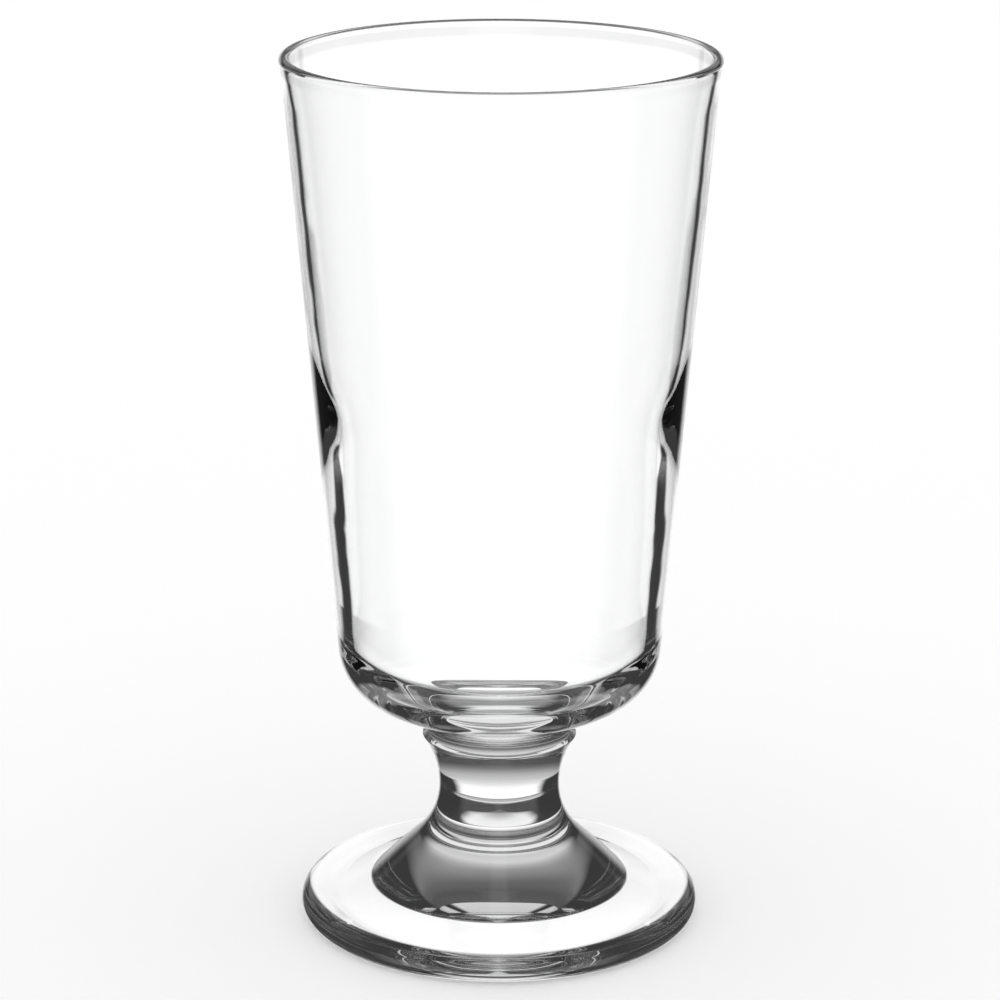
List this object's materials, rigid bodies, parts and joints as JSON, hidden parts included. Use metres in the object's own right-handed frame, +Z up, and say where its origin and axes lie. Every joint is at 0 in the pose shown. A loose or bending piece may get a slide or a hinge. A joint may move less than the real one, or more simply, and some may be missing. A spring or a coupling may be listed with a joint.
{
  "type": "footed highball glass",
  "caption": "Clear footed highball glass: a tall tapered bowl with a beaded rim and thick rounded bottom on a short waisted stem and a round foot.",
  "frame": {"origin": "centre of the circle that the foot stands on", "axes": "+Z up along the glass's axis, from the foot to the rim; X and Y lie in the resting plane and are free to choose, because the glass is round"},
  "size_m": [0.077, 0.077, 0.1588],
  "materials": {
    "bowl_glass": "clear, fire-polished",
    "stem_glass": "clear, fire-polished",
    "foot_glass": "clear, fire-polished"
  },
  "bodies": {
    "root": {"bowl": "bowl_glass", "stem": "stem_glass", "foot": "foot_glass"}
  },
  "joints": []
}
